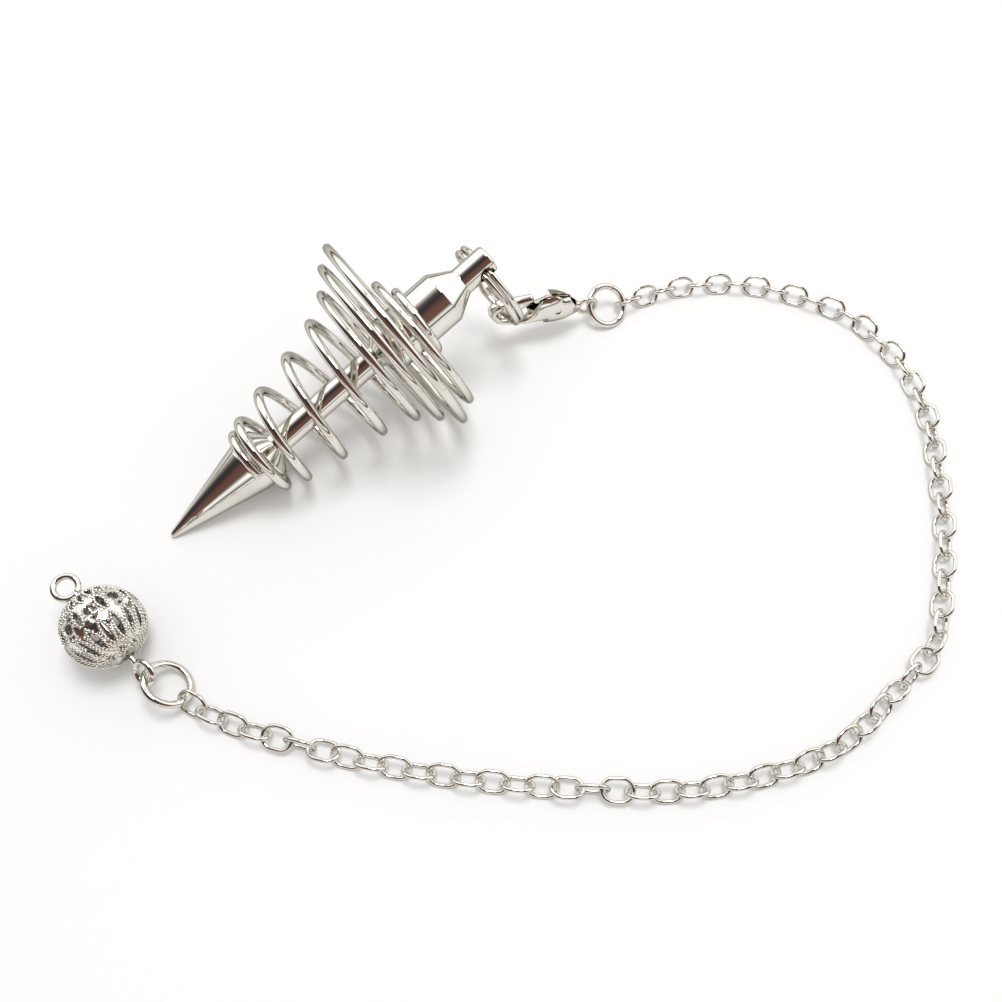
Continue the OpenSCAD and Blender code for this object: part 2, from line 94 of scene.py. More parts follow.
# The clasp's sections from its neck round to the tip of its hook, in shares of its body's length,
# its width, its width and its thickness
ALONG, ACROSS, HALF_WIDE, HALF_THICK = range(4)
CLASP_ROWS = [(1, 0, 0.09, 0.17), (0.922, 0.01, 0.165, 0.31), (0.826, 0.03, 0.285, 0.44),
              (0.705, 0.045, 0.36, 0.5), (0.612, 0.06, 0.37, 0.5), (0.5, -0.08, 0.17, 0.45),
              (0.389, -0.19, 0.09, 0.37), (0.259, -0.21, 0.075, 0.32),
              (0.127, -0.18, 0.075, 0.3), (0.043, 0, 0.08, 0.28), (0.093, 0.15, 0.077, 0.26),
              (0.186, 0.21, 0.075, 0.24), (0.297, 0.25, 0.07, 0.22), (0.417, 0.31, 0.063, 0.19)]

# The chain's route, from the clasp's jump ring to the ball's, and its quarter twists: the link
# that each starts at, and its sense. A twist is spread over a few links, and the end links rise
# part of the way to their rings
CHAIN_START, CHAIN_END = (11.4104, 25.823, 1.29025), (-30.9697, -20.4212, 1.055)
CHAIN_ROUTE = [(17.3, 28.0), (24.5, 28.7), (30.8, 27.2), (36.7, 24.2), (39.4, 20.9),
               (41.6, 17.0), (42.9, 10.6), (42.6, 3.8), (41.9, -2.6), (40.5, -8.8),
               (38.3, -15.1), (33.9, -19.5), (28.8, -24.0), (22.9, -26.7), (14.1, -28.5),
               (5.2, -28.4), (-3.4, -27.7), (-12.1, -26.4), (-20.5, -24.4), (-26.7, -22.5)]
CHAIN_TWISTS = [(30, -1), (46, -1), (58, 1)]
TWIST_LINKS, LINK_ROLL, END_LIFT, HANG_GAP, LINK_COUNT = 4, 45, 0.6, 0.1, 66

# The ball's pierced leaves: polar angle of each band, count, length and width. Its round holes
# between them: polar angle, count, diameter. Lengths are in shares of the ball's diameter. The
# pin's ends and these holes keep a smooth border, in millimetres
BALL_LEAVES = [(63, 18, 0.34, 0.07), (105, 9, 0.24, 0.07), (136, 18, 0.22, 0.055)]
BALL_ROUNDS = [(90, 9, 0.05), (104, 9, 0.13)]
POLE_BORDER, HOLE_BORDER = 1.25, 0.75

# The ball's grains, in shares of a grain: its height, how deep its middle lies in the surface,
# how far a row stands off its leaf, the spacing along a row, the least between any two in rows,
# the spacing of the spread ones, and how far these keep from a leaf. They also keep out of an
# oval round each hole, this many times its border
GRAIN_HEIGHT, GRAIN_SINK, ROW_OFF, ROW_SPACING, ROW_LEAST = 0.8, 0.08, 0.42, 1.02, 0.8
SPREAD_SPACING, SPREAD_OFF, HOLE_OVAL = 1.12, 1.3, 1.2

# Rounded edges: how far in the middle of one lies, in shares of its radius, the rings of the
# bob's tip by radius and height, and how far the cut ends of wires draw in, in millimetres
ARC_MIDDLE = 0.3
TIP_RINGS = [(0.3 * TIP_R, 0.02), (0.7 * TIP_R, 0.25 * TIP_R), (TIP_R, 0.8 * TIP_R)]
COIL_BLUNT, SPLIT_BLUNT, RING_BLUNT = 0.06, 0.05, 0.04

# Points this near are one, while a piece is in millimetres and in a solid's copy, in metres
SAME_MM, SAME_M = 1e-5, 1e-7

UP = Vector((0, 0, 1))
# The place of a solid's copy, which is in metres and in its place already
IN_METRES = Matrix.Scale(1 / MM, 4)

# Each plated finish: its roughness in shares of the mean, and the strength of its rubbing marks,
# of its dulling and of its dents
PLATES = {"turned_plate": (1.0, 0.04, 1.0, 0.0), "wire_plate": (1.2, 0.06, 1.0, 0.0),
          "cast_plate": (1.4, 0.1, 1.0, 0.0), "stamped_plate": (1.3, 0.1, 1.2, 0.0),
          "link_plate": (1.3, 0.06, 1.0, 0.0), "grained_plate": (1.5, 0.15, 1.3, 0.5)}

# Patterns by how often they repeat in a metre: the plate's dull clouds, rubbed patches, marks
# and dents, and the paper's fibres
CLOUD_SCALE, RUB_SCALE, MARK_SCALE, DENT_SCALE, FIBRE_SCALE = 160, 900, 2600, 3200, 40
CLOUD_DETAIL, RUB_DETAIL, PLAIN_DETAIL = 3, 4, 2
# Where in the clouds the plate is dull and where it is bright, and what the rubbed patches' range
# makes of the mean roughness
DULL_AT, DULL_REACH, BRIGHT_AT = 0.5, 0.3, 0.62
RUB_RANGE, ROUGH_RANGE = (0.3, 0.8), (0.7, 1.7)
# How the marks lie and are drawn out, and how deep marks and dents are, in metres
MARK_TURN, MARK_STRETCH = (0.3, 0.5, math.radians(37)), (0.12, 1.0, 1.0)
MARK_DEPTH, DENT_DEPTH = 0.00002, 0.00006

# The ball's inside, painted a darker colour as the hollow's shade and made rougher: how deep it
# lies under the surface and over what depth it fades, in millimetres
INSIDE_SHADE_COLOUR, INSIDE_ROUGHNESS = (0.6, 0.575, 0.54, 1), 0.5
INSIDE_DEPTH, INSIDE_FADE = 0.25, 0.15

# What gloss reflects: the card's tone by degrees round the bob, how far it reaches along the bob's
# axis, how it leans in radians towards the point, the side that its degrees start from, and the
# room's tone by height
CARD = [(-46, (1, 1, 1)), (-35, (0.4, 0.36, 0.33)), (-24, (0.09, 0.08, 0.08)),
        (-12, (0.03, 0.028, 0.03)), (2, (0.04, 0.03, 0.03)), (14, (0.09, 0.048, 0.04)),
        (30, (0.13, 0.06, 0.045)), (45, (0.1, 0.07, 0.06)), (52, (0.4, 0.36, 0.33)),
        (58, (1, 1, 1))]
CARD_REACH = [(-0.96, (0, 0, 0)), (-0.88, (1, 1, 1)), (0.66, (1, 1, 1)), (0.76, (0, 0, 0))]
CARD_LEAN = 1.05
CARD_FACES = Vector((-0.02, -0.5, 0.866))
ROOM = [(-0.3, (0.1, 0.095, 0.09)), (0.04, (0.12, 0.115, 0.11)), (0.2, (0.85, 0.85, 0.85)),
        (0.5, (1, 1, 1))]
WHITE, FLOOR_LIGHT = (1, 1, 1, 1), (1, 0.985, 0.975, 1)

# The floor with its darker fibres, the soft light and the camera, in metres and degrees
FLOOR_SIZE, FIBRE_SHADE, PAPER_ROUGHNESS = 0.7, 0.99, 0.9
KEY_AT, KEY_SIZE = (0.03, 0.06, 0.42), 0.19
CAMERA_AT, CAMERA_TILT, CAMERA_NEAR = (-0.002318, -0.048597, 0.089083), 29, 0.005
SENSOR_MM, FOCAL_PIXELS, PHOTO_PIXELS = 36, 1000, 1002


class PendulumShape(bpy.types.PropertyGroup):
    """How finely the pieces are modelled."""
    bob_sides: IntProperty(name="Bob sides", description="Sides round the turned bob",
                           default=128, min=24, max=256)
    wire_sides: IntProperty(name="Wire sides", description="Sides round each bent wire",
                            default=18, min=8, max=32)
    link_sides: IntProperty(name="Link sides", description="Sides round the wire of a chain link",
                            default=10, min=6, max=16)
    turned_edge: FloatProperty(name="Turned edge", description="Width of the bob's broken edges",
                               default=0.00007, min=0.00001, max=0.0002, unit="LENGTH", precision=5)
    cut_edge: FloatProperty(name="Cut edge", description="Width of the broken edges of clasp slots",
                            default=0.00004, min=0.00001, max=0.0001, unit="LENGTH", precision=5)
    lever_edge: FloatProperty(name="Lever edge", description="Width of the lever's rounded edges",
                              default=0.00012, min=0.00001, max=0.0002, unit="LENGTH", precision=5)
    grain: FloatProperty(name="Grain", description="Diameter of the grains round the ball's holes",
                         default=0.00034, min=0.0002, max=0.0006, unit="LENGTH", precision=5)


class PendulumFinish(bpy.types.PropertyGroup):
    """Colours of the plated metal."""
    silver: FloatVectorProperty(name="Silver", description="Colour of the bright plate",
                                subtype="COLOR", size=3, default=(0.8, 0.775, 0.72), min=0, max=1)
    shade: FloatVectorProperty(name="Shade", description="Colour of the plate where it has dulled",
                               subtype="COLOR", size=3, default=(0.66, 0.635, 0.58), min=0, max=1)
    rim: FloatVectorProperty(name="Rim", description="Tint of the plate at grazing angles",
                             subtype="COLOR", size=3, default=(0.4, 0.395, 0.375), min=0, max=1)
    gloss: FloatProperty(name="Roughness", description="Mean roughness of the polished plate",
                         subtype="FACTOR", default=0.035, min=0.0, max=0.5)


class PendulumStage(bpy.types.PropertyGroup):
    """The floor and the light."""
    floor: FloatVectorProperty(name="Floor", description="Colour of the floor", subtype="COLOR",
                               size=3, default=(0.94, 0.935, 0.93), min=0, max=1)
    key: FloatProperty(name="Key light", description="Power of the soft light from above",
                       default=0.75, min=0.0, max=10.0, unit="POWER")
    surround: FloatProperty(name="Surround", description="Strength of the light all round",
                            default=0.72, min=0.0, max=5.0)
    room: FloatProperty(name="Room", description="Strength of the room that gloss reflects",
                        default=1.5, min=0.0, max=5.0)


def turned(at, angles):
    """The place of a piece whose own frame lies at a point, turned about X, then Y, then Z."""
    angles = [math.radians(a) for a in angles]
    return Matrix.Translation(at) @ Euler(angles, "XYZ").to_matrix().to_4x4()


def on_circle(r, degrees, z=0.0):
    """A point on a circle round Z."""
    return Vector((r * math.cos(math.radians(degrees)), r * math.sin(math.radians(degrees)), z))


def on_section(side, wide, thick, degrees):
    """A point on an oval across the clasp's casting, from the oval's middle."""
    a = math.radians(degrees)
    return wide * math.cos(a) * side + Vector((0, 0, thick * math.sin(a)))


def smooth(rows, t, column):
    """A smooth curve through a column of a table, read at row number t."""
    i = min(math.floor(t), len(rows) - 2)
    u = t - i
    a, b, c, d = (rows[min(max(k, 0), len(rows) - 1)][column] for k in (i - 1, i, i + 1, i + 2))
    return b + 0.5 * u * (c - a + u * (2 * a - 5 * b + 4 * c - d + u * (3 * (b - c) + d - a)))


def deselect():
    """Leaves edit mode, with nothing selected."""
    if bpy.context.object and bpy.context.object.mode != "OBJECT":
        bpy.ops.object.mode_set(mode="OBJECT")
    bpy.ops.object.select_all(action="DESELECT")


def choose(piece, *others):
    """Selects these pieces alone, with the first as the active one."""
    deselect()
    for each in (piece, *others):
        each.select_set(True)
    bpy.context.view_layer.objects.active = piece


def edit_all(piece):
    """Enters edit mode with the whole of a piece selected."""
    choose(piece)
    bpy.ops.object.mode_set(mode="EDIT")
    bpy.ops.mesh.select_all(action="SELECT")


def wrap(name, rings, closed=False):
    """A grid wrapped into a skin through rings of points, its seam merged and its ends filled."""
    rows = rings + [rings[0]] if closed else rings
    sides = len(rows[0])
    deselect()
    bpy.ops.mesh.primitive_grid_add(x_subdivisions=sides, y_subdivisions=len(rows) - 1, size=1)
    piece = bpy.context.object
    piece.name = name
    corners = [value for row in rows for point in [*row, row[0]] for value in point]
    if len(corners) != 3 * len(piece.data.vertices):
        raise RuntimeError(name + ": the grid has another number of points than its rings")
    piece.data.vertices.foreach_set("co", corners)
    piece.data.update()
    edit_all(piece)
    bpy.ops.mesh.remove_doubles(threshold=SAME_MM)
    if not closed:
        bpy.ops.mesh.select_all(action="SELECT")
        bpy.ops.mesh.fill_holes(sides=0)
    bpy.ops.mesh.select_all(action="SELECT")
    bpy.ops.mesh.normals_make_consistent(inside=False)
    bpy.ops.object.mode_set(mode="OBJECT")
    return piece


def wire(path, up, d, sides, closed=False, blunt=0.0):
    """Rings across a path for a round wire. Blunt ends draw in by that much over that length."""
    rings, n = [], len(path)
    cut_end = [(blunt, 0.0), (ARC_MIDDLE * blunt, ARC_MIDDLE * blunt), (0.0, blunt)]
    for i, point in enumerate(path):
        before = path[(i - 1) % n] if closed else path[max(i - 1, 0)]
        after = path[(i + 1) % n] if closed else path[min(i + 1, n - 1)]
        ahead = (after - before).normalized()
        side = ahead.cross(up).normalized()
        top = side.cross(ahead)
        if blunt and i == 0:
            cuts = cut_end
        elif blunt and i == n - 1:
            cuts = [(inset, -shift) for inset, shift in reversed(cut_end)]
        else:
            cuts = [(0.0, 0.0)]
        for inset, shift in cuts:
            r = d / 2 - inset
            rings.append([point + shift * ahead + r * (math.cos(2 * math.pi * j / sides) * side
                          + math.sin(2 * math.pi * j / sides) * top) for j in range(sides)])
    return rings


def sawn_ring(d, thick, cut, cut_side, steps, sides):
    """Rings for a wire bent to a circle and sawn through at an angle round it."""
    r = (d - thick) / 2
    half_cut = math.degrees(cut / 2 / r)
    path = [on_circle(r, cut_side + half_cut + (360 - 2 * half_cut) * i / steps)
            for i in range(steps + 1)]
    return wire(path, UP, thick, sides, blunt=RING_BLUNT)


def apply_modifier(piece, kind, **settings):
    """Adds a modifier with its settings and applies it."""
    choose(piece)
    bpy.ops.object.modifier_add(type=kind)
    modifier = piece.modifiers[-1]
    for key, value in settings.items():
        setattr(modifier, key, value)
    bpy.ops.object.modifier_apply(modifier=modifier.name)


def break_edges(piece, width, segments, angle):
    """Bevels the edges that turn by more than an angle."""
    apply_modifier(piece, "BEVEL", width=width, segments=segments, limit_method="ANGLE",
                   angle_limit=math.radians(angle))


def combine(piece, other, operation):
    """A boolean with a helper, which is then removed."""
    apply_modifier(piece, "BOOLEAN", object=other, operation=operation, solver="EXACT")
    bpy.data.objects.remove(other, do_unlink=True)


def box_at(low, high):
    """A box between two corners, to cut with."""
    deselect()
    bpy.ops.mesh.primitive_cube_add(size=1)
    box = bpy.context.object
    size = [high[i] - low[i] for i in range(3)]
    box.matrix_world = Matrix.Translation([(low[i] + high[i]) / 2 for i in range(3)]) \
        @ Matrix.Diagonal((*size, 1))
    return box


def rod_at(place, r, length, sides=48):
    """A round rod at a place, to drill with."""
    deselect()
    bpy.ops.mesh.primitive_cylinder_add(vertices=sides, radius=r, depth=length)
    rod = bpy.context.object
    rod.matrix_world = place
    return rod


def merged_copy(node, name):
    """A copy of a solid with its points merged, to be finished further."""
    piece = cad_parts[node].copy()
    piece.data = piece.data.copy()
    piece.parent = None
    bpy.context.collection.objects.link(piece)
    piece.name = name
    edit_all(piece)
    bpy.ops.mesh.remove_doubles(threshold=SAME_M)
    bpy.ops.object.mode_set(mode="OBJECT")
    return piece


def copies_at(pattern, places):
    """A copy of a piece at each place, with its own mesh. The pattern is then removed."""
    copies = []
    for place in places:
        copy = pattern.copy()
        copy.data = pattern.data.copy()
        bpy.context.collection.objects.link(copy)
        copy.data.transform(place)
        copies.append(copy)
    bpy.data.objects.remove(pattern, do_unlink=True)
    return copies


def settle(piece, place, nodes, material, body="root", angle=35):
    """Brings a piece made in millimetres to its place, in metres, to stand for its nodes."""
    choose(piece)
    piece.matrix_world = Matrix.Scale(MM, 4) @ place
    bpy.ops.object.transform_apply(location=True, rotation=True, scale=True)
    bpy.ops.object.shade_smooth_by_angle(angle=math.radians(angle))
    piece.data.materials.clear()
    piece.data.materials.append(material)
    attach(piece, body)
    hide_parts(*nodes)


def add_node(tree, kind, **settings):
    """A new shader node with its settings."""
    made = tree.nodes.new("ShaderNode" + kind)
    for key, value in settings.items():
        setattr(made, key, value)
    return made


def feed(tree, value, socket):
    """Links a node's output to a socket, or sets the socket to a plain value."""
    if isinstance(value, bpy.types.NodeSocket):
        tree.links.new(value, socket)
    else:
        socket.default_value = value


def noise(tree, place, scale, detail):
    """A noise over a piece's own coordinates."""
    pattern = add_node(tree, "TexNoise")
    pattern.inputs["Scale"].default_value = scale
    pattern.inputs["Detail"].default_value = detail
    feed(tree, place, pattern.inputs["Vector"])
    return pattern.outputs["Fac"]


def rescale(tree, value, low, high, to_low=0.0, to_high=1.0):
    """A value between two limits, carried over to two others."""
    scale = add_node(tree, "MapRange")
    scale.inputs["From Min"].default_value = low
    scale.inputs["From Max"].default_value = high
    scale.inputs["To Min"].default_value = to_low
    scale.inputs["To Max"].default_value = to_high
    feed(tree, value, scale.inputs["Value"])
    return scale.outputs["Result"]


def bump(tree, height, strength, depth):
    """A relief for a shader's normal."""
    relief = add_node(tree, "Bump")
    relief.inputs["Strength"].default_value = strength
    relief.inputs["Distance"].default_value = depth
    feed(tree, height, relief.inputs["Height"])
    return relief


def mix(tree, share, a, b, **settings):
    """Two colours or values mixed by a share of the second."""
    made = add_node(tree, "Mix", **settings)
    for name, value in (("Factor", share), ("A", a), ("B", b)):
        feed(tree, value, made.inputs[name])
    return made.outputs["Result"]


def plate(name):
    """Polished silver-coloured plate: faint cloudy dulling, fine rubbing marks and small dents."""
    if name in bpy.data.materials:
        return bpy.data.materials[name]
    rough, scratch, dull, dents = PLATES[name]
    look = bpy.context.scene.pendulum_finish
    material = bpy.data.materials.new(name)
    material.use_nodes = True
    tree = material.node_tree
    shader = tree.nodes["Principled BSDF"]
    shader.inputs["Metallic"].default_value = 1.0
    shader.inputs["Specular Tint"].default_value = (*look.rim, 1)
    place = add_node(tree, "TexCoord").outputs["Object"]

    tint = add_node(tree, "ValToRGB")
    tint.color_ramp.elements[0].position = DULL_AT - DULL_REACH * dull
    tint.color_ramp.elements[0].color = (*look.shade, 1)
    tint.color_ramp.elements[1].position = BRIGHT_AT
    tint.color_ramp.elements[1].color = (*look.silver, 1)
    feed(tree, noise(tree, place, CLOUD_SCALE, CLOUD_DETAIL), tint.inputs["Fac"])
    feed(tree, tint.outputs["Color"], shader.inputs["Base Color"])

    rubbed = noise(tree, place, RUB_SCALE, RUB_DETAIL)
    worn = rescale(tree, rubbed, *RUB_RANGE, *[share * rough * look.gloss for share in ROUGH_RANGE])
    feed(tree, worn, shader.inputs["Roughness"])

    stretch = add_node(tree, "Mapping")
    stretch.inputs["Rotation"].default_value = MARK_TURN
    stretch.inputs["Scale"].default_value = MARK_STRETCH
    feed(tree, place, stretch.inputs["Vector"])
    marks = noise(tree, stretch.outputs["Vector"], MARK_SCALE, PLAIN_DETAIL)
    relief = bump(tree, marks, scratch, MARK_DEPTH)
    feed(tree, relief.outputs["Normal"], shader.inputs["Normal"])
    if dents:
        cells = add_node(tree, "TexVoronoi", feature="SMOOTH_F1")
        cells.inputs["Scale"].default_value = DENT_SCALE
        feed(tree, place, cells.inputs["Vector"])
        hammered = bump(tree, cells.outputs["Distance"], dents, DENT_DEPTH)
        feed(tree, hammered.outputs["Normal"], relief.inputs["Normal"])
    return material


def paint_hollow_shade(material, centre, r):
    """Paints shade on a hollow piece's plate nearer to its centre than a radius: a darker colour,
    and more roughness.
    """
    tree = material.node_tree
    shader = tree.nodes["Principled BSDF"]
    away = add_node(tree, "VectorMath", operation="DISTANCE")
    feed(tree, add_node(tree, "TexCoord").outputs["Object"], away.inputs[0])
    feed(tree, centre, away.inputs[1])
    share = rescale(tree, away.outputs["Value"], r, r + INSIDE_FADE * MM)
    for name, kind, inner in (("Base Color", "RGBA", INSIDE_SHADE_COLOUR),
                              ("Roughness", "FLOAT", INSIDE_ROUGHNESS)):
        socket = shader.inputs[name]
        outer = socket.links[0].from_socket
        feed(tree, mix(tree, share, inner, outer, data_type=kind), socket)


def coil_point(t):
    """The middle of the coil's wire at half turn t, in the bob's frame."""
    tight, wide = BOB_D / 2 + COIL_GAP + COIL_WIRE / 2, (COIL_D - COIL_WIRE) / 2
    low = POINT_L + COIL_WIRE / 2
    high = BOB_L - NECK_L - SHOULDER_L - BARREL_BARE_SHARE * BARREL_L
    r = tight + (wide - tight) * max(0, smooth(COIL_ROWS, t, FLARE))
    rise = low + (high - low) * smooth(COIL_ROWS, t, RISE)
    return on_circle(r, COIL_START_ANGLE - 180 * t, rise)


def chain_links():
    """The place of every link: laid along the route, rolled to either side in turn, at rest."""
    link_r = (LINK_W - LINK_WIRE) / 2
    hold = LINK_L / 2 - LINK_WIRE - HANG_GAP - JUMP_WIRE / 2
    inner = [Vector(p) - MIDDLE for p in CHAIN_ROUTE]
    ends = [Vector(CHAIN_START[:2]), Vector(CHAIN_END[:2])]
    rows = [ends[0] + hold * (inner[0] - ends[0]).normalized(), *inner,
            ends[1] + hold * (inner[-1] - ends[1]).normalized()]
    steps = 6
    route = [Vector((smooth(rows, i / steps, 0), smooth(rows, i / steps, 1)))
             for i in range((len(rows) - 1) * steps + 1)]
    walked = [0.0]
    for a, b in zip(route, route[1:]):
        walked.append(walked[-1] + (b - a).length)
    step = walked[-1] / (LINK_COUNT - 1)

    def on_route(s):
        """The point this far along the route, or straight on beyond its ends."""
        t = min(max(s, 0), walked[-1])
        i = max(k for k in range(len(route) - 1) if walked[k] <= t)
        ahead = (route[i + 1] - route[i]).normalized()
        return route[i] + ahead * (s - walked[i])

    def roll(n):
        """How far link n is turned about its length, in degrees."""
        twist = sum(sense * min(max(n - first, 0), TWIST_LINKS) for first, sense in CHAIN_TWISTS)
        return LINK_ROLL * (1 if n % 2 == 0 else -1) + 90 / TWIST_LINKS * twist

    def low(n):
        """The height of link n's middle where it rests on the floor."""
        return link_r * abs(math.sin(math.radians(roll(n)))) + LINK_WIRE / 2

    def lift(n):
        """The height of link n's middle, held up by its neighbours or its ring."""
        if n in (0, LINK_COUNT - 1):
            return low(n) + END_LIFT * max(0, (CHAIN_START if n == 0 else CHAIN_END)[2] - low(n))
        return max(low(n), (low(n - 1) + low(n + 1)) / 2)

    for n in range(LINK_COUNT):
        ahead = on_route(n * step + LINK_PITCH / 2) - on_route(n * step - LINK_PITCH / 2)
        heading = math.degrees(math.atan2(ahead.y, ahead.x))
        yield turned((*on_route(n * step), lift(n)), (-roll(n), 0, heading))


class PENDULUM_OT_bob(bpy.types.Operator):
    """Turned bob: point, collar, stem, barrel and neck, with broken edges and a drilled neck."""
    bl_idname = "pendulum.bob"
    bl_label = "Bob"

    def execute(self, context):
        shape = context.scene.pendulum_shape
        collar_end, neck_from = POINT_L + COLLAR_L, BOB_L - NECK_L
        shoulder_from = neck_from - SHOULDER_L
        barrel_from = shoulder_from - BARREL_L
        big, thin, neck = BOB_D / 2, STEM_D / 2, NECK_D / 2
        profile = [*TIP_RINGS,
                   (big, POINT_L), (big, collar_end), (thin, collar_end + SLOPE_L),
                   (thin, barrel_from - SLOPE_L), (big, barrel_from), (big, shoulder_from),
                   (neck, neck_from), (neck, BOB_L - EDGE_R),
                   (neck - ARC_MIDDLE * EDGE_R, BOB_L - ARC_MIDDLE * EDGE_R),
                   (neck - EDGE_R, BOB_L)]
        rings = [[on_circle(r, 360 * j / shape.bob_sides, z) for j in range(shape.bob_sides)]
                 for r, z in profile]
        bob = wrap("turned_bob", rings)
        break_edges(bob, shape.turned_edge / MM, segments=3, angle=12)
        across = turned((0, 0, NECK_HOLE_AT), (0, 0, RING_SWING)) @ turned((0, 0, 0), (90, 0, 0))
        combine(bob, rod_at(across, NECK_HOLE_D / 2, 2 * NECK_D), "DIFFERENCE")
        settle(bob, turned(BOB_AT, BOB_TURN), ["bob"], plate("turned_plate"))
        return {"FINISHED"}


class PENDULUM_OT_coil(bpy.types.Operator):
    """The flaring coil of round wire, with cut ends."""
    bl_idname = "pendulum.coil"
    bl_label = "Coil"

    def execute(self, context):
        half_turns, steps = COIL_LAST - COIL_FIRST, 24
        count = int(half_turns * steps)
        path = [coil_point(COIL_FIRST + half_turns * i / count) for i in range(count + 1)]
        rings = wire(path, UP, COIL_WIRE, context.scene.pendulum_shape.wire_sides,
                     blunt=COIL_BLUNT)
        settle(wrap("wire_coil", rings), turned(BOB_AT, BOB_TURN), ["coil"], plate("wire_plate"))
        return {"FINISHED"}


class PENDULUM_OT_split_ring(bpy.types.Operator):
    """The split ring: two turns of wire pressed side by side."""
    bl_idname = "pendulum.split_ring"
    bl_label = "Split ring"

    def execute(self, context):
        r, offset = (SPLIT_D - SPLIT_WIRE) / 2, (SPLIT_WIRE + SPLIT_GAP) / 2
        path, count = [], 240
        for i in range(count + 1):
            a = SPLIT_SWEEP * i / count
            u = min(max((a - SPLIT_SWEEP / 2 + SPLIT_JOG / 2) / SPLIT_JOG, 0), 1)
            path.append(on_circle(r, SPLIT_START_ANGLE + a, offset * (2 * u - 1)))
        rings = wire(path, UP, SPLIT_WIRE, context.scene.pendulum_shape.wire_sides,
                     blunt=SPLIT_BLUNT)
        swing = turned(on_circle(r, RING_SWING, NECK_HOLE_AT), (0, 0, RING_SWING))
        settle(wrap("split_ring_wire", rings), turned(BOB_AT, BOB_TURN) @ swing, ["split_ring"],
               plate("wire_plate"))
        return {"FINISHED"}


class PENDULUM_OT_clasp(bpy.types.Operator):
    """Lobster clasp: the cast body with its hook, eye and slot, its stamped lever and its rivet."""
    bl_idname = "pendulum.clasp"
    bl_label = "Clasp"

    def execute(self, context):
        shape = context.scene.pendulum_shape
        body = self.casting()
        floor_y, half = PIVOT[1] - BOSS_R - LEVER_GAP, LEVER_T / 2 + LEVER_GAP
        for low_x, high_y in ((SLOT_HIGH_FROM, floor_y + CLASP_W), (SLOT_LOW_FROM, SLOT_STEP)):
            combine(body, box_at((low_x, floor_y, -half), (SLOT_BACK, high_y, half)), "DIFFERENCE")
        combine(body, rod_at(Matrix.Translation(PIVOT), (RIVET_D + RIVET_GAP) / 2, 2 * CLASP_T),
                "DIFFERENCE")
        break_edges(body, shape.cut_edge / MM, segments=2, angle=50)
        place = turned(HOOK_AT, CLASP_TURN) @ Matrix.Translation([-value for value in MOUTH])
        settle(body, place, ["clasp_body"], plate("cast_plate"))

        lever = merged_copy("clasp_lever", "stamped_lever")
        edit_all(lever)
        bpy.ops.mesh.dissolve_limited(angle_limit=math.radians(1))
        bpy.ops.object.mode_set(mode="OBJECT")
        break_edges(lever, shape.lever_edge, segments=3, angle=50)
        stamped = plate("stamped_plate")
        settle(lever, IN_METRES, ["clasp_lever"], stamped, body="lever")
        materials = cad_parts["clasp_rivet"].data.materials
        materials.clear()
        materials.append(stamped)
        return {"FINISHED"}

    def casting(self):
        """The body's cast form with its eye, before it is slotted and drilled."""
        per_row, sides = 5, 28
        at = [i / per_row for i in range((len(CLASP_ROWS) - 1) * per_row + 1)]
        path = [Vector((BODY_L * smooth(CLASP_ROWS, t, ALONG),
                        CLASP_W * smooth(CLASP_ROWS, t, ACROSS), 0)) for t in at]
        rings = []
        for i, t in enumerate(at):
            ahead = (path[min(i + 1, len(at) - 1)] - path[max(i - 1, 0)]).normalized()
            side = ahead.cross(UP)
            wide = CLASP_W * smooth(CLASP_ROWS, t, HALF_WIDE)
            thick = CLASP_T * smooth(CLASP_ROWS, t, HALF_THICK)
            rings.append([path[i] + on_section(side, wide, thick, 360 * j / sides)
                          for j in range(sides)])
        body = wrap("clasp_casting", rings)
        eye_at = CLASP_L - CLASP_EYE_D / 2 - EYE_WALL
        deselect()
        bpy.ops.mesh.primitive_torus_add(major_segments=64, minor_segments=24,
                                         major_radius=(CLASP_EYE_D + EYE_WALL) / 2,
                                         minor_radius=EYE_WALL / 2, location=(eye_at, 0, 0))
        combine(body, bpy.context.object, "UNION")
        return body


class PENDULUM_OT_jump_rings(bpy.types.Operator):
    """Both jump rings: round wire bent to a ring, sawn through where it closes."""
    bl_idname = "pendulum.jump_rings"
    bl_label = "Jump rings"

    def execute(self, context):
        rings = sawn_ring(JUMP_D, JUMP_WIRE, JUMP_CUT, JUMP_CUT_SIDE, steps=96,
                          sides=context.scene.pendulum_shape.wire_sides)
        for name, node, at, angles in (
                ("clasp_jump_ring_wire", "jump_ring_clasp", CLASP_RING_AT, CLASP_RING_TURN),
                ("ball_jump_ring_wire", "jump_ring_ball", HELD_RING_AT, HELD_RING_TURN)):
            settle(wrap(name, rings), turned(at, angles), [node], plate("wire_plate"))
        return {"FINISHED"}


class PENDULUM_OT_chain(bpy.types.Operator):
    """The cable chain: one oval link, copied along the route, each copy with its own mesh."""
    bl_idname = "pendulum.chain"
    bl_label = "Chain"

    def execute(self, context):
        link_r, straight, bends = (LINK_W - LINK_WIRE) / 2, (LINK_L - LINK_W) / 2, 10
        half = [on_circle(link_r, -90 + 180 * j / bends) + Vector((straight, 0, 0))
                for j in range(bends + 1)]
        path = half + [Vector((-p.x, -p.y, 0)) for p in half]
        rings = wire(path, UP, LINK_WIRE, context.scene.pendulum_shape.link_sides, closed=True)
        links = copies_at(wrap("link", rings, closed=True), chain_links())
        choose(*links)
        bpy.ops.object.join()
        chain = context.object
        chain.name = "cable_chain"
        settle(chain, Matrix.Identity(4), ["chain"], plate("link_plate"), angle=60)
        return {"FINISHED"}


